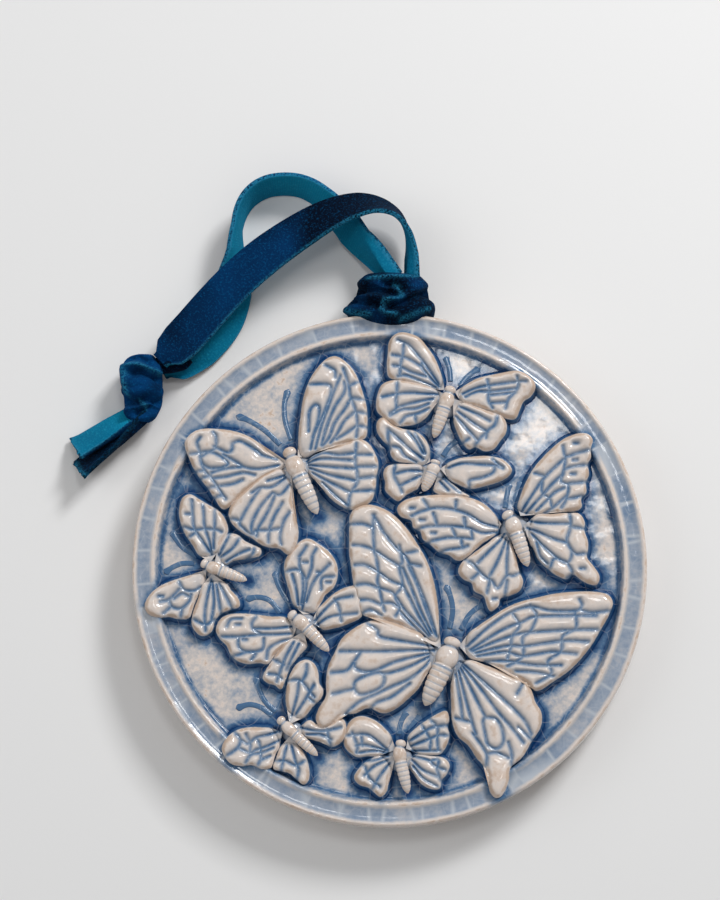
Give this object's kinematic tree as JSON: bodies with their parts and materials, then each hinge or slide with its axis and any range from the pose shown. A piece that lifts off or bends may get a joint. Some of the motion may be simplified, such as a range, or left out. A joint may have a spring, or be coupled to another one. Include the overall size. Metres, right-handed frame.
{
  "type": "butterfly ornament",
  "caption": "Round glazed ceramic hanging ornament with butterflies in relief on a dished, rimmed face, tied with a velvet ribbon loop.",
  "frame": {"origin": "middle of the back, in the plane of the foot ring that the ornament lies on", "axes": "+Z out of the face, +Y towards the top edge where the ribbon is tied, +X to the right as seen from the front"},
  "size_m": [0.1001, 0.1153, 0.0121],
  "materials": {
    "glaze_body": "gloss",
    "glaze_relief": "gloss",
    "velvet": "matte",
    "ribbon_back": "satin"
  },
  "bodies": {
    "ornament": {"medallion": "glaze_body", "butterfly_lower_right": "glaze_relief", "butterfly_upper_left": "glaze_relief", "butterfly_right": "glaze_relief", "butterfly_top": "glaze_relief", "butterfly_lower_left": "glaze_relief", "butterfly_upper_middle": "glaze_relief", "butterfly_left": "glaze_relief", "butterfly_middle_left": "glaze_relief", "butterfly_bottom": "glaze_relief", "ribbon_bridge": "velvet", "rim_knot": "velvet"},
    "ribbon_loop": {"front_strand": "velvet", "back_strand": "ribbon_back", "end_knot": "velvet", "light_tail": "ribbon_back", "dark_tail": "velvet"}
  },
  "joints": [
    {"name": "ribbon_flop", "type": "hinge", "parent": "ornament", "child": "ribbon_loop", "pos_m": [0.0012, 0.0515, 0.00475], "axis": [0, 1, 0], "range_deg": [0, 180]}
  ]
}
